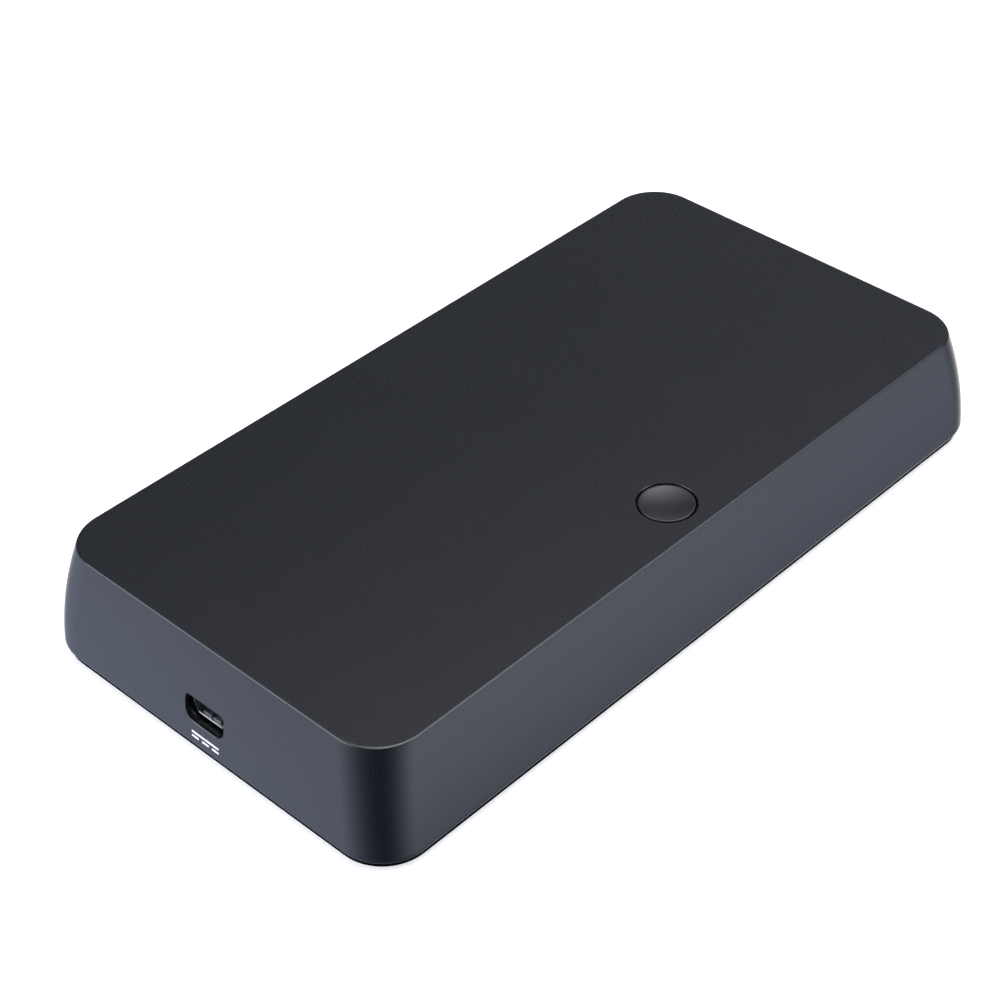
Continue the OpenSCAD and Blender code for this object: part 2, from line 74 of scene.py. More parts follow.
COVER_Z = 0.7
COVER_T = 2
COVER_EDGE_H = 0.7
COVER_EDGE_R = 0.1
COVER_LIP_H = 2.4
COVER_LIP_T = 1.4
COVER_FLOOR_Z = COVER_Z + COVER_T
COVER_LIP_Z = COVER_FLOOR_Z + COVER_LIP_H
# How far the cover's edge stands out beyond the end of the shell's rim
COVER_PROUD = 0.06
LIP_GAP = 0.2
LIP_INSET = WALL_T + LIP_GAP
BOARD_Z = 7.8
BOARD_T = 1.6
BOARD_LOW_Z = BOARD_Z - BOARD_T

BUTTON_INSET = 8.1
BUTTON_PLACE = (0, BUTTON_INSET - HALF_WIDTH)
BUTTON_R = 4.85
BUTTON_GAP = 0.35

# Fineness of the meshes
CORNER_STEPS = 20
EDGE_STEPS = 6
WALL_STEPS = 14
RIM_STEPS = 8
ROUND_STEPS = 96
SMALL_ROUND_STEPS = 40
FILLET_STEPS = 5
SHARP_ANGLE = math.radians(28)
# Small chamfer at the edges of openings
BREAK = 0.08
CUT = 1


# Section of the case: reach beyond the top edge and depth below the top face


def arc_point(start, radius, first, last):
    across = radius * (math.cos(last) - math.cos(first))
    down = radius * (math.sin(first) - math.sin(last))
    return (start[0] + across, start[1] + down)


def arc(start, radius, first, last, steps):
    turns = [first + (last - first) * i / steps for i in range(steps)]
    return [arc_point(start, radius, first, turn) for turn in turns]


WALL_START = (0, EDGE_R * (1 - math.sin(LEAN_TOP)))
WALL_END_DEPTH = RIM_DEPTH - RIM_R * (math.sin(LEAN_LOW) + math.sin(RIM_TURN))
WALL_R = (WALL_END_DEPTH - WALL_START[1]) / (math.sin(LEAN_TOP) - math.sin(LEAN_LOW))
EDGE_START = (-EDGE_R * math.cos(LEAN_TOP), 0)
WALL_END = arc_point(WALL_START, WALL_R, LEAN_TOP, LEAN_LOW)
RIM_END = arc_point(WALL_END, RIM_R, LEAN_LOW, -RIM_TURN)


def lean_at(depth):
    """Lean of the outside at a depth: a quarter turn on the top face, below zero under the rim."""
    if depth <= WALL_START[1]:
        rise = 1 - depth / EDGE_R
    elif depth <= WALL_END[1]:
        rise = math.sin(LEAN_TOP) - (depth - WALL_START[1]) / WALL_R
    else:
        rise = math.sin(LEAN_LOW) - (depth - WALL_END[1]) / RIM_R
    return math.asin(max(-1, min(1, rise)))


def reach_at(depth):
    """Reach of the outside beyond the top edge at a depth."""
    lean = lean_at(depth)
    if depth <= WALL_START[1]:
        return arc_point(EDGE_START, EDGE_R, math.pi / 2, lean)[0]
    if depth <= WALL_END[1]:
        return arc_point(WALL_START, WALL_R, LEAN_TOP, lean)[0]
    return arc_point(WALL_END, RIM_R, LEAN_LOW, lean)[0]


def outside_direction(point):
    """Level direction in which the outside faces at a point on it."""
    reach = reach_at(TOP_Z - point.z)
    over_x = abs(point.x) - (HALF_LENGTH + reach - CORNER_R)
    over_y = abs(point.y) - (HALF_WIDTH + reach - CORNER_R)
    level = Vector((max(over_x, 0), max(over_y, 0)))
    if level.length == 0:
        level = Vector((1, 0))
    level.normalize()
    return Vector((math.copysign(level.x, point.x), math.copysign(level.y, point.y)))


def outside_normal(point):
    """Normal of the outside at a point on it: the corners keep one radius while the walls flare."""
    lean = lean_at(TOP_Z - point.z)
    level = outside_direction(point)
    spread = abs(level.x) + abs(level.y)
    normal = Vector((level.x * math.cos(lean), level.y * math.cos(lean), spread * math.sin(lean)))
    return normal.normalized()


def case_ring(reach, depth, inset=0):
    """Outline of the case at a reach and depth, drawn further in by an inset."""
    points = []
    for quarter in range(4):
        side_x = 1 if quarter in (0, 3) else -1
        side_y = 1 if quarter < 2 else -1
        for i in range(CORNER_STEPS + 1):
            turn = math.pi / 2 * (quarter + i / CORNER_STEPS)
            x = side_x * (HALF_LENGTH + reach - CORNER_R) + (CORNER_R - inset) * math.cos(turn)
            y = side_y * (HALF_WIDTH + reach - CORNER_R) + (CORNER_R - inset) * math.sin(turn)
            points.append((x, y, TOP_Z - depth))
    return points


# Shapes: lists of points and faces, joined into pieces


def loft(rings):
    """Closed shape through rings of equally many points, flat at both ends."""
    count = len(rings[0])
    points = [point for ring in rings for point in ring]
    faces = []
    for level in range(len(rings) - 1):
        upper, lower = level * count, (level + 1) * count
        for i in range(count):
            after = (i + 1) % count
            faces.append((upper + i, upper + after, lower + after, lower + i))
    faces.append(tuple(range(count)))
    faces.append(tuple(range(len(points) - count, len(points))))
    return points, faces


def moved(shape, place):
    points, faces = shape
    return [place @ Vector(point) for point in points], faces


def shifted(shape, x, y, z):
    return moved(shape, Matrix.Translation((x, y, z)))


def joined(shapes):
    points, faces = [], []
    for shape_points, shape_faces in shapes:
        start = len(points)
        points.extend(shape_points)
        faces.extend(tuple(start + index for index in face) for face in shape_faces)
    return points, faces


def circle(radius, height, steps):
    turns = [2 * math.pi * i / steps for i in range(steps)]
    return [(radius * math.cos(turn), radius * math.sin(turn), height) for turn in turns]


def lathe(profile, steps=SMALL_ROUND_STEPS):
    """Shape turned round the Z axis from a profile of radius and height."""
    return loft([circle(radius, height, steps) for radius, height in profile])


def quarter_round(corner_r, height, round_r, steps=FILLET_STEPS):
    """Profile of a rounded upper edge, from the side of a cylinder in to its top."""
    turns = [math.pi / 2 * i / steps for i in range(steps + 1)]
    return [
        (corner_r - round_r * (1 - math.cos(turn)), height - round_r * (1 - math.sin(turn)))
        for turn in turns
    ]


def rounded(corners, radius, steps=FILLET_STEPS):
    """Closed outline through the corners, each rounded by its radius."""
    radii = radius if isinstance(radius, list) else [radius] * len(corners)
    corners = [Vector(corner) for corner in corners]
    outline = []
    for i, corner in enumerate(corners):
        back = (corners[i - 1] - corner).normalized()
        ahead = (corners[(i + 1) % len(corners)] - corner).normalized()
        half = back.angle(ahead) / 2
        centre = corner + (back + ahead).normalized() * radii[i] / math.sin(half)
        first = corner + back * radii[i] / math.tan(half) - centre
        last = corner + ahead * radii[i] / math.tan(half) - centre
        outline.extend(centre + radii[i] * first.slerp(last, step / steps) for step in range(steps + 1))
    return outline


def rectangle(width, low, high, grow=0):
    side = width / 2 + grow
    return [(-side, low - grow), (side, low - grow), (side, high + grow), (-side, high + grow)]


def across_plug(outline, out):
    """Outline of a port, across and up, set at a distance out of the case."""
    return [(out, across, up) for across, up in outline]


def block(low, high, bevel):
    """Box between two corners with bevelled edges."""
    (x0, y0, z0), (x1, y1, z1) = low, high
    rings = []
    for z, inset in ((z0, bevel), (z0 + bevel, 0), (z1 - bevel, 0), (z1, bevel)):
        corners = [
            (x0 + inset, y0 + inset), (x1 - inset, y0 + inset),
            (x1 - inset, y1 - inset), (x0 + inset, y1 - inset),
        ]
        rings.append([(point.x, point.y, z) for point in rounded(corners, bevel, 2)])
    return loft(rings)


def make_mesh(name, shape):
    points, faces = shape
    mesh = bpy.data.meshes.new(name)
    mesh.from_pydata([Vector(point) * MM for point in points], [], faces)
    shell = bmesh.new()
    shell.from_mesh(mesh)
    bmesh.ops.recalc_face_normals(shell, faces=shell.faces)
    shell.to_mesh(mesh)
    shell.free()
    return mesh


def combined(mesh, shape, operation):
    """The mesh with a shape cut from it or joined to it."""
    base = bpy.data.objects.new("base", mesh)
    tool = bpy.data.objects.new("tool", make_mesh("tool", shape))
    for item in (base, tool):
        bpy.context.scene.collection.objects.link(item)
    change = base.modifiers.new("change", "BOOLEAN")
    change.operation = operation
    change.solver = "EXACT"
    change.object = tool
    graph = bpy.context.evaluated_depsgraph_get()
    result = bpy.data.meshes.new_from_object(base.evaluated_get(graph))
    for item in (base, tool):
        old = item.data
        bpy.data.objects.remove(item)
        bpy.data.meshes.remove(old)
    return result


def smooth(mesh):
    mesh.shade_smooth()
    mesh.set_sharp_from_angle(angle=SHARP_ANGLE)


def smooth_outside(mesh):
    """Gives the faces on the outside of the case the exact normals of its formula."""
    smooth(mesh)
    normals = [Vector(corner.vector) for corner in mesh.corner_normals]
    for face in mesh.polygons:
        centre = face.center / MM
        if face.normal.dot(outside_normal(centre)) < math.cos(SHARP_ANGLE):
            continue
        if not on_outside(centre):
            continue
        for corner in face.loop_indices:
            point = mesh.vertices[mesh.loops[corner].vertex_index].co / MM
            normals[corner] = outside_normal(point)
    mesh.normals_split_custom_set(normals)


def on_outside(point):
    """Whether a face's centre lies in the outer half of the shell's wall or roof."""
    depth = TOP_Z - point.z
    if depth < WALL_T / 2:
        return True
    margin = reach_at(depth) - WALL_T / 2 - CORNER_R / 2
    return abs(point.x) > HALF_LENGTH + margin or abs(point.y) > HALF_WIDTH + margin


def piece(name, mesh, body, slot, nodes):
    """An object for a mesh that rides on a body and stands for the construction's nodes."""
    mesh.name = name
    made = bpy.data.objects.new(name, mesh)
    bpy.context.scene.collection.objects.link(made)
    mesh.materials.clear()
    mesh.materials.append(finishes[slot])
    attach(made, body)
    if nodes:
        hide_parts(*nodes)
    return made


def simple_piece(name, shapes, body, slot, nodes):
    mesh = make_mesh(name, joined(shapes))
    smooth(mesh)
    return piece(name, mesh, body, slot, nodes)


# Finishes: one node material for each slot of the record

# Values between which a noise mostly lies
NOISE_LOW = 0.3
NOISE_HIGH = 0.7


def new_finish(name, roughness, metallic=0.0):
    finish = bpy.data.materials.new(name)
    finish.use_nodes = True
    shader = finish.node_tree.nodes["Principled BSDF"]
    shader.inputs["Metallic"].default_value = metallic
    shader.inputs["Roughness"].default_value = roughness
    return finish, finish.node_tree, shader


def add_noise(tree, size, detail=2.0, stretch=(1, 1, 1)):
    """Noise whose grains measure a size in millimetres."""
    place = tree.nodes.new("ShaderNodeTexCoord")
    scale = tree.nodes.new("ShaderNodeMapping")
    scale.inputs["Scale"].default_value = stretch
    noise = tree.nodes.new("ShaderNodeTexNoise")
    noise.inputs["Scale"].default_value = 1 / (size * MM)
    noise.inputs["Detail"].default_value = detail
    tree.links.new(place.outputs["Object"], scale.inputs["Vector"])
    tree.links.new(scale.outputs["Vector"], noise.inputs["Vector"])
    return noise.outputs["Fac"]


def add_range(tree, value, low, high, target):
    """Drives a socket with a noise, kept between two values."""
    spread = tree.nodes.new("ShaderNodeMapRange")
    spread.inputs["From Min"].default_value = NOISE_LOW
    spread.inputs["From Max"].default_value = NOISE_HIGH
    spread.inputs["To Min"].default_value = low
    spread.inputs["To Max"].default_value = high
    tree.links.new(value, spread.inputs["Value"])
    tree.links.new(spread.outputs["Result"], target)


def add_tint(tree, value, dark, light, target):
    """Drives a colour with a noise, between two colours."""
    ramp = tree.nodes.new("ShaderNodeValToRGB")
    for stop, position, colour in zip(ramp.color_ramp.elements, (NOISE_LOW, NOISE_HIGH), (dark, light)):
        stop.position = position
        stop.color = (*colour, 1)
    tree.links.new(value, ramp.inputs["Fac"])
    tree.links.new(ramp.outputs["Color"], target)


def add_bump(tree, value, height, strength, shader):
    """Raises the surface by a height in millimetres."""
    bump = tree.nodes.new("ShaderNodeBump")
    bump.inputs["Strength"].default_value = strength
    bump.inputs["Distance"].default_value = height * MM
    tree.links.new(value, bump.inputs["Height"])
    tree.links.new(bump.outputs["Normal"], shader.inputs["Normal"])


def moulded(name, dark, light, roughness, grain=0.3, height=0.02, strength=0.2, patch=14, shine=0.5):
    """Moulded plastic or rubber: a fine spark-eroded grain that also varies the gloss, and slow changes
    of tone.
    """
    finish, tree, shader = new_finish(name, roughness)
    shader.inputs["Specular IOR Level"].default_value = shine
    slow = add_noise(tree, patch, detail=3.0)
    fine = add_noise(tree, grain)
    change = 0.03
    add_tint(tree, slow, dark, light, shader.inputs["Base Color"])
    add_range(tree, fine, roughness - change, roughness + change, shader.inputs["Roughness"])
    add_bump(tree, fine, height, strength, shader)
    return finish


def metal(name, dark, light, roughness, grain=0.25, stretch=(1, 1, 1), strength=0.1):
    """Plated or turned metal with fine marks along one direction."""
    finish, tree, shader = new_finish(name, roughness, 1.0)
    marks = add_noise(tree, grain, detail=4.0, stretch=stretch)
    slow = add_noise(tree, size=3)
    change = 0.04
    add_tint(tree, slow, dark, light, shader.inputs["Base Color"])
    add_range(tree, marks, roughness - change, roughness + change, shader.inputs["Roughness"])
    add_bump(tree, marks, height=0.002, strength=strength, shader=shader)
    return finish


def laminate(name):
    """Solder mask over copper tracks: fine lines in two directions, darker between them."""
    finish, tree, shader = new_finish(name, roughness=0.35)
    track_w = 1.2
    long = 0.12
    along = add_noise(tree, track_w, detail=0.0, stretch=(long, 1, 1))
    across = add_noise(tree, track_w, detail=0.0, stretch=(1, long, 1))
    tracks = tree.nodes.new("ShaderNodeMath")
    tracks.operation = "MAXIMUM"
    tree.links.new(along, tracks.inputs[0])
    tree.links.new(across, tracks.inputs[1])
    pattern = tracks.outputs["Value"]
    add_tint(tree, pattern, (0.005, 0.045, 0.02), (0.02, 0.12, 0.05), shader.inputs["Base Color"])
    add_bump(tree, pattern, height=0.03, strength=0.5, shader=shader)
    return finish


def clear_resin(name):
    """Clear lens resin over a pale chip."""
    finish, tree, shader = new_finish(name, roughness=0.2)
    shader.inputs["Transmission Weight"].default_value = 0.4
    slow = add_noise(tree, size=0.6)
    add_tint(tree, slow, (0.75, 0.72, 0.55), (0.85, 0.84, 0.75), shader.inputs["Base Color"])
    return finish


finishes = {
    "shell_plastic": moulded("shell_plastic", (0.0040, 0.0042, 0.0046), (0.0048, 0.0050, 0.0054), 0.25),
    # The cover's colour is darker than the shell's and almost without gloss: painted shade along the foot
    # of the case, laid over the cover's own black.
    "cover_plastic": moulded(
        "cover_plastic", (0.0010, 0.0010, 0.0012), (0.0014, 0.0014, 0.0016), 0.6, height=0.03, shine=0.02
    ),
    "button_plastic": moulded("button_plastic", (0.0040, 0.0042, 0.0046), (0.0048, 0.0050, 0.0054), 0.32),
    "screw_steel": metal("screw_steel", (0.30, 0.30, 0.31), (0.38, 0.38, 0.39), 0.35),
    "foot_rubber": moulded("foot_rubber", (0.010, 0.010, 0.010), (0.014, 0.014, 0.014), 0.75, grain=0.15),
    "board_laminate": laminate("board_laminate"),
    "black_moulding": moulded(
        "black_moulding", (0.006, 0.006, 0.007), (0.009, 0.009, 0.010), 0.45, grain=0.12
    ),
    "white_moulding": moulded("white_moulding", (0.70, 0.70, 0.68), (0.78, 0.78, 0.76), 0.45, grain=0.12),
    "tinned_steel": metal("tinned_steel", (0.42, 0.42, 0.42), (0.50, 0.50, 0.50), 0.32),
    "contact_metal": metal("contact_metal", (0.62, 0.56, 0.44), (0.72, 0.66, 0.52), 0.25),
    "led_resin": clear_resin("led_resin"),
    "chip_resin": moulded("chip_resin", (0.009, 0.009, 0.010), (0.013, 0.013, 0.014), 0.6, grain=0.1),
    "pad_silicone": moulded("pad_silicone", (0.22, 0.32, 0.42), (0.28, 0.38, 0.48), 0.7, grain=0.2),
    "sink_aluminium": metal(
        "sink_aluminium", (0.03, 0.03, 0.035), (0.05, 0.05, 0.055), 0.45, stretch=(1, 0.1, 1)
    ),
    "can_aluminium": metal(
        "can_aluminium", (0.65, 0.66, 0.68), (0.75, 0.76, 0.78), 0.3, stretch=(1, 1, 0.1)
    ),
    "ferrite": moulded("ferrite", (0.05, 0.05, 0.055), (0.08, 0.08, 0.085), 0.7, grain=0.2, strength=0.4),
    "capacitor_ceramic": moulded(
        "capacitor_ceramic", (0.22, 0.15, 0.09), (0.32, 0.23, 0.14), 0.5, grain=0.1
    ),
}
WHITE_INK = moulded("white_ink", (0.80, 0.80, 0.80), (0.88, 0.88, 0.88), 0.5, grain=0.1)


def dress_nodes():
    """Gives each construction node that still shows the finish of its slot."""
    for entry in frame["record"]["subparts"]:
        for slot in frame["nodes"][entry["node"]].material_slots:
            slot.material = finishes[entry["material_slot"]]


# Places of the ports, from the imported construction


def node_box(node):
    low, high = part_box(node)
    return low / MM, high / MM


def end_port(node, side):
    """Place of a port in an end of the case: X out of the case, Y across, Z up from the board."""
    low, high = node_box(node)
    mouth = high.x if side > 0 else low.x
    turn = 0 if side > 0 else math.pi
    origin = Matrix.Translation((mouth, (low.y + high.y) / 2, BOARD_Z))
    return origin @ Matrix.Rotation(turn, 4, "Z"), HALF_LENGTH - abs(mouth)


def rear_port(node):
    low, high = node_box(node)
    origin = Matrix.Translation(((low.x + high.x) / 2, high.y, BOARD_Z))
    return origin @ Matrix.Rotation(math.pi / 2, 4, "Z"), HALF_WIDTH - high.y


POWER_PLACE, POWER_BACK = end_port("power_port_shell", -1)
VIDEO_IN_PLACE, VIDEO_BACK = rear_port("video_in_shell")
VIDEO_OUT_PLACE, VIDEO_BACK = rear_port("video_out_shell")
STORAGE_PLACE, STORAGE_BACK = end_port("storage_port_shell", 1)
MIC_PLACE, MIC_BACK = end_port("mic_jack_body", 1)

POWER_REACH = 1.35
POWER_CUT_W = 9
POWER_CUT_LOW = -0.8
POWER_CUT_HIGH = 4.15
POWER_CUT_LOW_R = 2.2
POWER_CUT_TOP_R = 0.9
VIDEO_CUT_W = 16.2
VIDEO_CUT_LOW = -0.6
VIDEO_CUT_HIGH = 6.2
STORAGE_CUT_W = 14.3
STORAGE_CUT_LOW = -0.6
STORAGE_CUT_HIGH = 6.4
PORT_CUT_CORNER = 0.6
MIC_CUT_R = 3.4
MIC_AXIS = 2.5


def power_cut(grow):
    corners = rectangle(POWER_CUT_W, POWER_CUT_LOW, POWER_CUT_HIGH, grow)
    low, high = POWER_CUT_LOW_R + grow, POWER_CUT_TOP_R + grow
    return rounded(corners, [low, low, high, high], 2 * FILLET_STEPS)


def video_cut(grow):
    corners = rectangle(VIDEO_CUT_W, VIDEO_CUT_LOW, VIDEO_CUT_HIGH, grow)
    return rounded(corners, PORT_CUT_CORNER + grow)


def storage_cut(grow):
    corners = rectangle(STORAGE_CUT_W, STORAGE_CUT_LOW, STORAGE_CUT_HIGH, grow)
    return rounded(corners, PORT_CUT_CORNER + grow)


def mic_cut(grow):
    points = circle(MIC_CUT_R + grow, 0, SMALL_ROUND_STEPS)
    return [(across, MIC_AXIS + up) for across, up, level in points]


def opening(outline, back, place, reach=0):
    """Cutter for a port's opening from behind its mouth, chamfered where it leaves the leaning wall."""
    def wall_out(up):
        return reach_at(TOP_Z - BOARD_Z - up) + back

    inner = outline(0)
    outer = outline(BREAK + CUT)
    rings = [
        across_plug(inner, -reach),
        [(wall_out(up) - BREAK, across, up) for across, up in inner],
        [
            (wall_out(up) + CUT, wide, high)
            for (across, up), (wide, high) in zip(inner, outer)
        ],
    ]
    return moved(loft(rings), place)


# Case

SCREW_INSET = (10, 9.1)
SCREW_X = HALF_LENGTH - SCREW_INSET[0]
SCREW_Y = HALF_WIDTH - SCREW_INSET[1]
FOOT_INSET = (23, 10.5)
FOOT_X = HALF_LENGTH - FOOT_INSET[0]
FOOT_Y = HALF_WIDTH - FOOT_INSET[1]
BOSS_R = 3.4
PILOT_R = 1.2
PILOT_ROOF = 2


def at_corners(shape, x, y):
    """The shape at four places, mirrored about the middle of the case."""
    return [shifted(shape, side_x * x, side_y * y, 0) for side_x in (-1, 1) for side_y in (-1, 1)]


def build_top_shell():
    section = arc(EDGE_START, EDGE_R, math.pi / 2, LEAN_TOP, EDGE_STEPS)
    section += arc(WALL_START, WALL_R, LEAN_TOP, LEAN_LOW, WALL_STEPS)
    section += arc(WALL_END, RIM_R, LEAN_LOW, -RIM_TURN, RIM_STEPS)
    section.append(RIM_END)
    outside = [case_ring(reach, depth) for reach, depth in section]
    inner_depths = [WALL_T + (WALL_END[1] - WALL_T) * i / WALL_STEPS for i in range(WALL_STEPS + 1)]
    inside = [case_ring(WALL_END[0], RIM_DEPTH, WALL_T)]
    inside += [case_ring(reach_at(depth), depth, WALL_T) for depth in reversed(inner_depths)]
    mesh = make_mesh("top_shell", loft(outside + inside))

    boss = lathe([(BOSS_R, BOARD_Z), (BOSS_R, ROOF_Z + WALL_T / 2)])
    mesh = combined(mesh, joined(at_corners(boss, SCREW_X, SCREW_Y)), "UNION")

    hole_r = BUTTON_R + BUTTON_GAP
    hole_edge = [(hole_r, TOP_Z - BREAK), (hole_r + BREAK + CUT, TOP_Z + CUT)]
    button_hole = lathe([(hole_r, ROOF_Z - CUT)] + hole_edge, ROUND_STEPS)
    pilot = lathe([(PILOT_R, BOARD_Z - CUT), (PILOT_R, ROOF_Z - PILOT_ROOF)])
    cuts = [
        shifted(button_hole, *BUTTON_PLACE, 0),
        opening(power_cut, POWER_BACK, POWER_PLACE, POWER_REACH),
        opening(video_cut, VIDEO_BACK, VIDEO_IN_PLACE),
        opening(video_cut, VIDEO_BACK, VIDEO_OUT_PLACE),
        opening(storage_cut, STORAGE_BACK, STORAGE_PLACE),
        opening(mic_cut, MIC_BACK, MIC_PLACE),
        *at_corners(pilot, SCREW_X, SCREW_Y),
    ]
    mesh = combined(mesh, joined(cuts), "DIFFERENCE")
    smooth_outside(mesh)
    piece("top_shell_case", mesh, "case", "shell_plastic", ["top_shell"])


HEAD_POCKET_R = 2.7
SCREW_HOLE_R = 1.4
FOOT_R = 5
FOOT_POCKET_R = 5.05
FOOT_POCKET_DEPTH = 0.5
FOOT_POCKET_Z = COVER_Z + FOOT_POCKET_DEPTH
VENT_COUNT = 9
VENT_LENGTH = 24
VENT_WIDTH = 1.6
VENT_PITCH = 4
# Just under half the width, so that the two arcs at an end of a slot don't meet in one point
VENT_ROUND = 0.4995 * VENT_WIDTH


def pocket(radius, low, high):
    """Cutter for a round pocket in the underside with a chamfered mouth."""
    return lathe([(radius + BREAK + CUT, low - CUT), (radius, low + BREAK), (radius, high)])


def vent_ring(z, grow):
    corners = rectangle(VENT_WIDTH, -VENT_LENGTH / 2, VENT_LENGTH / 2, grow)
    return [(x, y, z) for x, y in rounded(corners, VENT_ROUND + grow)]


def build_bottom_cover():
    depth = TOP_Z - COVER_Z
    cover_reach = RIM_END[0] + COVER_PROUD
    lip_reach = reach_at(TOP_Z - COVER_LIP_Z)
    edge = []
    for i in range(FILLET_STEPS + 1):
        turn = math.pi / 2 * i / FILLET_STEPS
        rise = COVER_EDGE_R * (1 - math.cos(turn))
        edge.append(case_ring(cover_reach, depth - rise, COVER_EDGE_R * (1 - math.sin(turn))))
    edge_top = depth - COVER_EDGE_H
    lip_top = TOP_Z - COVER_LIP_Z
    floor = TOP_Z - COVER_FLOOR_Z
    rings = edge + [
        case_ring(cover_reach, edge_top),
        case_ring(lip_reach, edge_top, LIP_INSET),
        case_ring(lip_reach, lip_top + BREAK, LIP_INSET),
        case_ring(lip_reach, lip_top, LIP_INSET + BREAK),
        case_ring(lip_reach, lip_top, LIP_INSET + COVER_LIP_T),
        case_ring(lip_reach, floor, LIP_INSET + COVER_LIP_T),
    ]
    mesh = make_mesh("bottom_cover", loft(rings))
    pillar = lathe([(BOSS_R, COVER_Z + COVER_EDGE_H), (BOSS_R, BOARD_LOW_Z)])
    mesh = combined(mesh, joined(at_corners(pillar, SCREW_X, SCREW_Y)), "UNION")

    vent = loft([
        vent_ring(COVER_Z - CUT, BREAK + CUT),
        vent_ring(COVER_Z + BREAK, 0),
        vent_ring(COVER_FLOOR_Z + CUT, 0),
    ])
    screw_hole = lathe([(SCREW_HOLE_R, COVER_Z), (SCREW_HOLE_R, BOARD_Z)])
    places = [(i - (VENT_COUNT - 1) / 2) * VENT_PITCH for i in range(VENT_COUNT)]
    cuts = [shifted(vent, x, 0, 0) for x in places]
    cuts += at_corners(pocket(FOOT_POCKET_R, COVER_Z, FOOT_POCKET_Z), FOOT_X, FOOT_Y)
    mesh = combined(mesh, joined(cuts), "DIFFERENCE")
    mesh = combined(mesh, joined(at_corners(screw_hole, SCREW_X, SCREW_Y)), "DIFFERENCE")
    pockets = at_corners(pocket(HEAD_POCKET_R, COVER_Z, COVER_FLOOR_Z), SCREW_X, SCREW_Y)
    mesh = combined(mesh, joined(pockets), "DIFFERENCE")
    smooth(mesh)
    # The cover takes the darkened finish, which paints shade along the foot of the case.
    piece("bottom_cover_case", mesh, "case", "cover_plastic", ["bottom_cover"])


def build_feet():
    """Rubber feet, rounded below and dished in the middle."""
    round_r = 0.4
    dish_r = 3.4
    dish = 0.15
    edge = [(radius, -height) for radius, height in quarter_round(FOOT_R, 0, round_r)]
    profile = [(FOOT_R, FOOT_POCKET_Z)] + edge + [(dish_r, 0), (dish_r - dish, dish)]
    feet = at_corners(lathe(profile, ROUND_STEPS), FOOT_X, FOOT_Y)
    simple_piece("rubber_foot_set", feet, "case", "foot_rubber", ["rubber_feet"])


def build_screws():
    """Pan-head screws with a cross recess and a threaded shank."""
    head_r = 2.3
    head_h = 1.5
    shank_z = COVER_FLOOR_Z
    head_z = shank_z - head_h
    length = 13
    crest_r = 1.15
    root_r = 0.85
    pitch = 0.8
    round_r = 0.5
    recess_w = 0.5
    recess_r = 1.15
    recess_depth = 0.7
    recess_bevel = 0.05
    # Radius and share of the pitch along one turn of the thread
    thread_form = [(root_r, 0), (crest_r, 0.4), (crest_r, 0.5), (root_r, 0.9)]
    turns = int(length / pitch)
    thread = [
        (radius, shank_z + (i + share) * pitch) for i in range(turns) for radius, share in thread_form
    ]
    edge = [(radius, 2 * head_z - height) for radius, height in quarter_round(head_r, head_z, round_r)]
    head = list(reversed(edge)) + [(head_r, shank_z)]
    tip = [(root_r, shank_z + turns * pitch), (root_r / 2, shank_z + length)]
    mesh = make_mesh("screw", lathe(head + thread + tip))
    low, high = head_z - CUT, head_z + recess_depth
    for size_x, size_y in ((recess_r, recess_w / 2), (recess_w / 2, recess_r)):
        recess = block((-size_x, -size_y, low), (size_x, size_y, high), recess_bevel)
        mesh = combined(mesh, recess, "DIFFERENCE")
    points = [vertex.co / MM for vertex in mesh.vertices]
    faces = [tuple(face.vertices) for face in mesh.polygons]
    bpy.data.meshes.remove(mesh)
    screws = at_corners((points, faces), SCREW_X, SCREW_Y)
    simple_piece("case_screw_set", screws, "case", "screw_steel", ["case_screws"])


def build_button():
    """Record button: a dished cap on a flange, with a stem down to the switch."""
    dish = 0.5
    land = 0.3
    edge_r = 0.2
    flange_w = 1.1
    flange_t = 1
    flange_r = BUTTON_R + flange_w
    flange_z = ROOF_Z - flange_t
    stem_r = 1.8
    point_r = 0.02
    stem_z = node_box("record_button")[0].z
    dish_r = BUTTON_R - land
    ball_r = (dish_r ** 2 + dish ** 2) / (2 * dish)
    ball_z = TOP_Z - dish + ball_r
    dish_steps = 24
    radii = [dish_r * (1 - i / dish_steps) for i in range(dish_steps)] + [point_r]
    hollow = [(radius, ball_z - math.sqrt(ball_r ** 2 - radius ** 2)) for radius in radii]
    flange = [(flange_r, flange_z), (flange_r, ROOF_Z), (BUTTON_R, ROOF_Z)]
    profile = [(stem_r, stem_z), (stem_r, flange_z)] + flange
    profile += quarter_round(BUTTON_R, TOP_Z, edge_r) + hollow
    button = shifted(lathe(profile, ROUND_STEPS), *BUTTON_PLACE, 0)
    simple_piece("record_button_cap", [button], "button", "button_plastic", ["record_button"])


# Ports

PLATE = 0.35
FIT = 0.05
CONTACT_T = 0.12
SPRING_T = 0.2
# A spring finger from its root to the mouth: share of the way and share of its rise
SPRING_PATH = [(0, 0), (0.25, 0.25), (0.65, 1), (1, 0.35)]


def d_outline(width, high, foot_width, step, inset, corner):
    """Outline of a port: wide at the top, drawn in towards its foot."""
    side, foot = width / 2 - inset, (foot_width - inset) / 2
    right = [(foot, inset), (side, step), (side, high - inset)]
    left = [(-across, up) for across, up in reversed(right)]
    return rounded(left + right, corner)


def metal_shell(outline, depth, corner):
    """Folded metal shell with an open mouth and a rounded lip."""
    outer_lip = 0.16
    inner_lip = 0.03
    rings = [
        across_plug(outline(0, corner), -depth),
        across_plug(outline(0, corner), -outer_lip),
        across_plug(outline(outer_lip, corner), 0),
        across_plug(outline(PLATE - inner_lip, corner), 0),
        across_plug(outline(PLATE, corner), -inner_lip),
        across_plug(outline(PLATE, corner), PLATE - depth),
    ]
    return loft(rings)


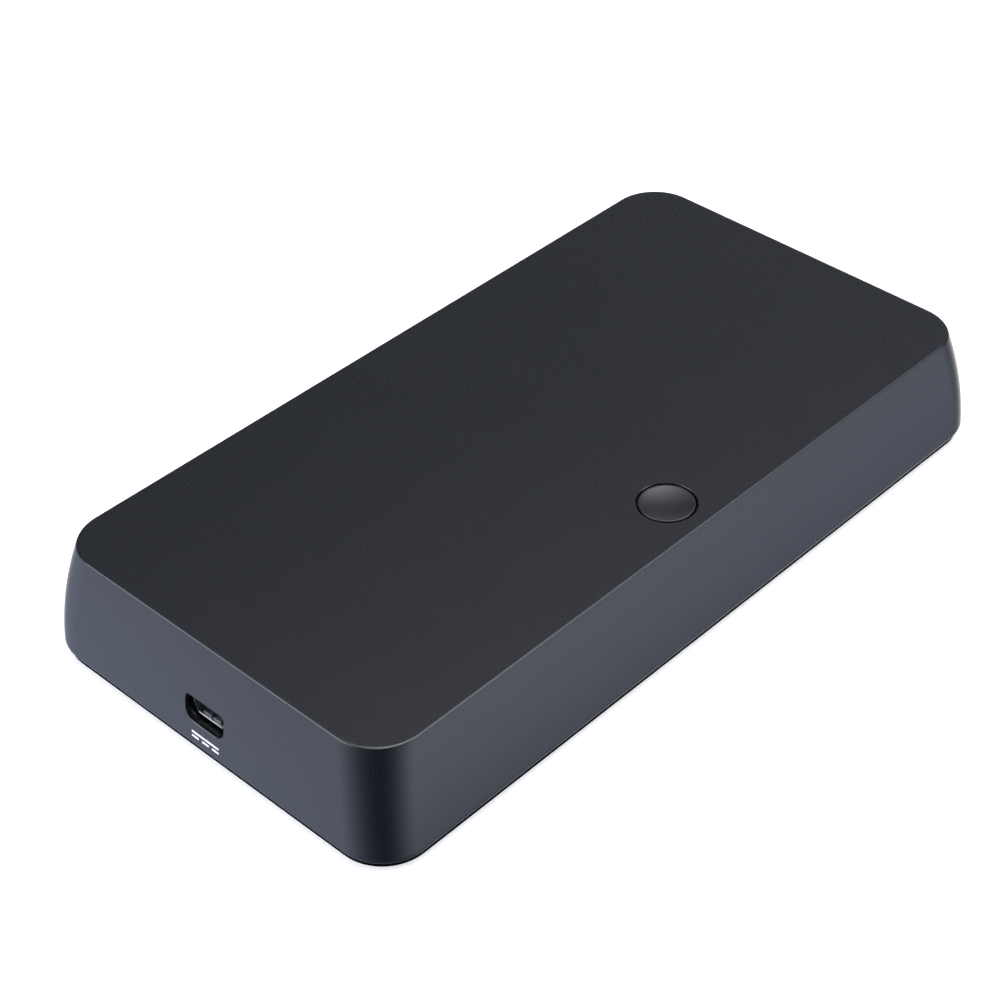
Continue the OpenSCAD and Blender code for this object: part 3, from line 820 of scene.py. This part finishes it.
def spring_pair(width, front, back, rise, spread):
    """Two bent spring fingers on a shell's floor, from a depth at the back to one near the mouth."""
    pair = []
    for middle in (-spread, spread):
        rings = []
        for share, lift in SPRING_PATH:
            out, low = -back + (back - front) * share, PLATE + rise * lift
            rings.append(across_plug(rectangle(width, low, low + SPRING_T), out))
        pair.append(shifted(loft(rings), 0, middle, 0))
    return pair


def contact_row(count, pitch, width, front, back, base):
    """Row of flat contacts with bevelled tips, lying on a tongue."""
    row = []
    for i in range(count):
        middle = (i - (count - 1) / 2) * pitch
        low = (-back, middle - width / 2, base)
        high = (-front, middle + width / 2, base + CONTACT_T)
        row.append(block(low, high, CONTACT_T / 4))
    return row


def build_port(name, place, shell, springs, insulator, contacts, insulator_slot):
    """A port's three pieces: shell with its springs, insulator with its tongue, and contacts."""
    for label, shapes, slot, node in (
        ("metal_shell", [shell] + springs, "tinned_steel", "shell"),
        ("tongue", insulator, insulator_slot, "insulator"),
        ("contact_row", contacts, "contact_metal", "contacts"),
    ):
        placed = [moved(shape, place) for shape in shapes]
        simple_piece(f"{name}_{label}", placed, "case", slot, [f"{name}_{node}"])


def insulator_shapes(outline, corner, depth, fill_depth, tongue_w, tongue_low, tongue_high, tongue_tip):
    """The block at the back of a shell and the tongue that stands out of it towards the mouth."""
    bevel = 0.12
    back, front = PLATE - depth, PLATE - depth + fill_depth
    across = outline(PLATE + FIT, corner)
    fill = loft([across_plug(across, back), across_plug(across, front)])
    low = (front, -tongue_w / 2, tongue_low)
    high = (-tongue_tip, tongue_w / 2, tongue_high)
    return [fill, block(low, high, bevel)]


def build_power_port():
    corner = 0.3
    depth = 9
    tongue_low = 2.1

    def outline(inset, corner):
        return d_outline(7.7, 3.95, 5.9, 1.9, inset, corner)

    shell = metal_shell(outline, depth, corner)
    springs = spring_pair(width=1.7, front=0.45, back=4.5, rise=0.45, spread=1.1)
    insulator = insulator_shapes(
        outline, corner, depth, fill_depth=3,
        tongue_w=4.4, tongue_low=tongue_low, tongue_high=2.9, tongue_tip=1.2,
    )
    contacts = contact_row(5, pitch=0.8, width=0.4, front=1.6, back=5.65, base=tongue_low - CONTACT_T)
    build_port("power_port", POWER_PLACE, shell, springs, insulator, contacts, "black_moulding")


def build_video_port(name, place):
    corner = 0.45
    depth = 11.4
    tongue_low = 2.4
    tongue_high = 3.5
    sizes = {"pitch": 1, "width": 0.4, "front": 1.4, "back": 7.05}

    def outline(inset, corner):
        return d_outline(15, 5.6, 12.4, 2.3, inset, corner)

    shell = metal_shell(outline, depth, corner)
    springs = spring_pair(width=1.6, front=1, back=6, rise=0.35, spread=3.2)
    insulator = insulator_shapes(
        outline, corner, depth, fill_depth=4,
        tongue_w=11, tongue_low=tongue_low, tongue_high=tongue_high, tongue_tip=1,
    )
    contacts = contact_row(10, base=tongue_low - CONTACT_T, **sizes)
    contacts += contact_row(9, base=tongue_high, **sizes)
    build_port(name, place, shell, springs, insulator, contacts, "black_moulding")


def build_storage_port():
    corner = 0.35
    depth = 14
    tongue_low = 3.2

    def outline(inset, corner):
        return rounded(rectangle(13.1, 0, 5.8, -inset), corner)

    shell = metal_shell(outline, depth, corner)
    springs = spring_pair(width=1.8, front=1.5, back=7, rise=0.4, spread=3)
    insulator = insulator_shapes(
        outline, corner, depth, fill_depth=3,
        tongue_w=11, tongue_low=tongue_low, tongue_high=5, tongue_tip=1.5,
    )
    contacts = contact_row(4, pitch=2.2, width=1, front=2.5, back=10.65, base=tongue_low - CONTACT_T)
    build_port("storage_port", STORAGE_PLACE, shell, springs, insulator, contacts, "white_moulding")


def build_mic_jack():
    """Jack for a small round plug: a square body with a rounded barrel and a clear bore."""
    width, high, depth = 6.4, 5, 14
    barrel_r, barrel_length, bore_r = 2.5, 2, 1.8
    lip = 0.25
    bevel = 0.2
    body = block((-depth, -width / 2, 0), (-barrel_length, width / 2, high), bevel)
    mesh = make_mesh("jack", body)
    turn = Matrix.Translation((0, 0, MIC_AXIS)) @ Matrix.Rotation(math.pi / 2, 4, "Y")
    profile = [(barrel_r, -barrel_length - barrel_r), (barrel_r, -lip), (barrel_r - lip, 0)]
    bore = [(bore_r, -depth - CUT), (bore_r, -lip), (bore_r + lip + CUT, CUT)]
    mesh = combined(mesh, moved(lathe(profile), turn), "UNION")
    mesh = combined(mesh, moved(lathe(bore), turn), "DIFFERENCE")
    mesh.transform(Matrix.Translation(MIC_PLACE.translation * MM))
    smooth(mesh)
    piece("mic_jack_barrel", mesh, "case", "black_moulding", ["mic_jack_body"])


def build_power_sign():
    """Plain direct-current sign printed under the power port: a line over three dashes."""
    middle = -0.5
    length = 6.4
    dash = 1.6
    stroke = 0.42
    line_depth = 17.6
    dash_depth = 18.5
    ink = 0.02
    spacing = (length - dash) / 2
    bars = [(0, length, line_depth)] + [(side * spacing, dash, dash_depth) for side in (-1, 0, 1)]
    shapes = []
    for offset, width, depth in bars:
        left, right = middle + offset - width / 2, middle + offset + width / 2
        rings = []
        for side in (-1, 1):
            ring = []
            for y, level in ((left, -1), (right, -1), (right, 1), (left, 1)):
                bar_depth = depth + level * stroke / 2
                x = -(HALF_LENGTH + reach_at(bar_depth) + side * ink)
                ring.append((x, y, TOP_Z - bar_depth))
            rings.append(ring)
        shapes.append(loft(rings))
    sign = simple_piece("power_sign", shapes, "case", "white_moulding", [])
    sign.data.materials[0] = WHITE_INK


dress_nodes()
build_top_shell()
build_bottom_cover()
build_feet()
build_screws()
build_button()
build_power_port()
build_video_port("video_in", VIDEO_IN_PLACE)
build_video_port("video_out", VIDEO_OUT_PLACE)
build_storage_port()
build_mic_jack()
build_power_sign()


# Stage: a pale floor, soft light from both sides and above, and the camera

FLOOR_HALF = 4
FLOOR_GLOW = 0.6


def build_floor():
    mesh = bpy.data.meshes.new("floor")
    corners = rectangle(2 * FLOOR_HALF, -FLOOR_HALF, FLOOR_HALF)
    mesh.from_pydata([(x, y, 0) for x, y in corners], [], [(0, 1, 2, 3)])
    floor = bpy.data.objects.new("floor", mesh)
    bpy.context.scene.collection.objects.link(floor)
    paper = moulded("floor_paper", (0.58, 0.58, 0.58), (0.60, 0.60, 0.60), 0.9, patch=300)
    shader = paper.node_tree.nodes["Principled BSDF"]
    shader.inputs["Emission Color"].default_value = (1, 1, 1, 1)
    shader.inputs["Emission Strength"].default_value = FLOOR_GLOW
    mesh.materials.append(paper)
    floor.visible_glossy = False


STUDIO_DIM = (0.043, 0.068, 0.153)
BACKGROUND = (0.95, 0.95, 0.95)
# Soft lights at a great distance: bearing and height in degrees, tightness, and radiance
STUDIO_LIGHTS = [
    (142, -15, 3.5, (1.22, 1.36, 1.70)),
    (150, 27, 18, (7.2, 7.6, 8.2)),
    (-68, -14, 5.8, (1.72, 1.85, 2.20)),
    (-57, 35, 40, (6.4, 6.7, 7.4)),
    (37, -25, 6, (2.55, 2.46, 2.15)),
    (-4, 82, 10.5, (5.9, 6.0, 6.2)),
    (0, 60, 24, (2.8, 2.85, 2.9)),
]


def aim(bearing, height):
    """Level bearing and height in degrees as a direction."""
    turn, rise = math.radians(bearing), math.radians(height)
    return Vector((math.cos(turn) * math.cos(rise), math.sin(turn) * math.cos(rise), math.sin(rise)))


def build_world():
    """Studio surroundings of soft lights, with a plain pale background."""
    world = bpy.data.worlds.new("studio")
    world.use_nodes = True
    bpy.context.scene.world = world
    tree = world.node_tree
    place = tree.nodes.new("ShaderNodeTexCoord")

    def calc(kind, operation, first, second):
        node = tree.nodes.new(kind)
        node.operation = operation
        for socket, value in zip(node.inputs, (first, second)):
            if isinstance(value, bpy.types.NodeSocket):
                tree.links.new(value, socket)
            else:
                socket.default_value = value
        return node

    total = STUDIO_DIM
    for bearing, height, tightness, radiance in STUDIO_LIGHTS:
        towards = aim(bearing, height)
        facing = calc("ShaderNodeVectorMath", "DOT_PRODUCT", place.outputs["Generated"], towards)
        ahead = calc("ShaderNodeMath", "MAXIMUM", facing.outputs["Value"], 0)
        lobe = calc("ShaderNodeMath", "POWER", ahead.outputs["Value"], tightness)
        glow = calc("ShaderNodeVectorMath", "MULTIPLY", lobe.outputs["Value"], radiance)
        total = calc("ShaderNodeVectorMath", "ADD", total, glow.outputs["Vector"]).outputs["Vector"]
    seen = tree.nodes.new("ShaderNodeMixRGB")
    path = tree.nodes.new("ShaderNodeLightPath")
    tree.links.new(path.outputs["Is Camera Ray"], seen.inputs["Fac"])
    tree.links.new(total, seen.inputs["Color1"])
    seen.inputs["Color2"].default_value = (*BACKGROUND, 1)
    tree.links.new(seen.outputs["Color"], tree.nodes["Background"].inputs["Color"])
    world.cycles.sampling_method = "NONE"


CAMERA_PLACE = (-236.74, -219.683, 270.571)
CAMERA_TARGET = (-18.12, -8.774, TOP_Z)
CAMERA_ROLL = math.radians(-1.048)
CAMERA_LENS = 84.947
CAMERA_SENSOR = 36
CAMERA_CLIP = 0.01


def build_camera():
    data = bpy.data.cameras.new("camera")
    data.lens = CAMERA_LENS
    data.sensor_width = CAMERA_SENSOR
    data.clip_start = CAMERA_CLIP
    camera = bpy.data.objects.new("camera", data)
    place, target = Vector(CAMERA_PLACE) * MM, Vector(CAMERA_TARGET) * MM
    facing = (target - place).to_track_quat("-Z", "Y").to_matrix().to_4x4()
    camera.matrix_world = Matrix.Translation(place) @ facing @ Matrix.Rotation(CAMERA_ROLL, 4, "Z")
    bpy.context.scene.collection.objects.link(camera)
    bpy.context.scene.camera = camera


build_floor()
build_world()
build_camera()
bpy.context.scene.view_settings.view_transform = "Standard"
